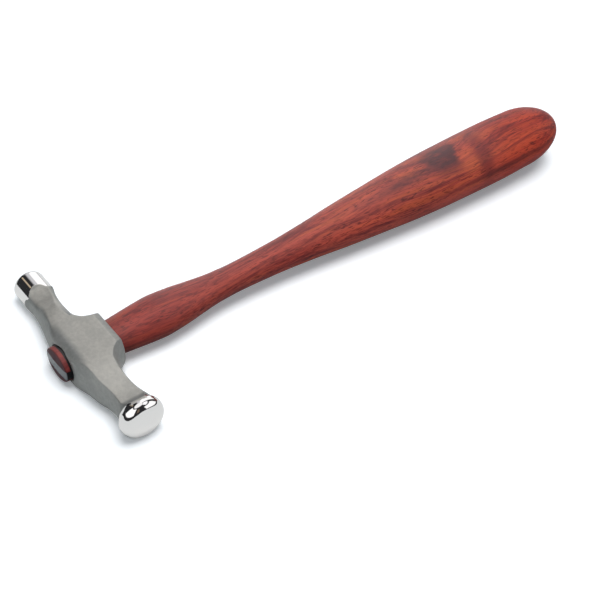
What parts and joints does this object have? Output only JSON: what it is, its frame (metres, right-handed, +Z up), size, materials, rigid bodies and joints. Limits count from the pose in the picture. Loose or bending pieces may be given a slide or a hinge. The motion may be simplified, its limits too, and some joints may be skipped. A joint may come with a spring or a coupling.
{
  "type": "blocking hammer",
  "caption": "Silversmith's blocking hammer: satin steel head with a broad domed face and a small round face, on a turned red hardwood handle wedged in its eye.",
  "frame": {"origin": "middle of the lower flat cheek of the head, straight below the point where the head's axis crosses the handle's axis", "axes": "+X along the head towards the small face, +Y along the handle towards the top of the head, +Z up out of the upper cheek"},
  "size_m": [0.0792, 0.2241, 0.0235],
  "materials": {
    "satin_steel": "satin ground arms and cheeks, mirror-polished faces",
    "red_hardwood": "oiled and lacquered red hardwood, fine grain along the handle",
    "wedge_wood": "black hardwood, dressed flush and lacquered over with the handle"
  },
  "bodies": {
    "root": {"steel_head": "satin_steel", "wooden_handle": "red_hardwood", "handle_wedge": "wedge_wood"}
  },
  "joints": []
}
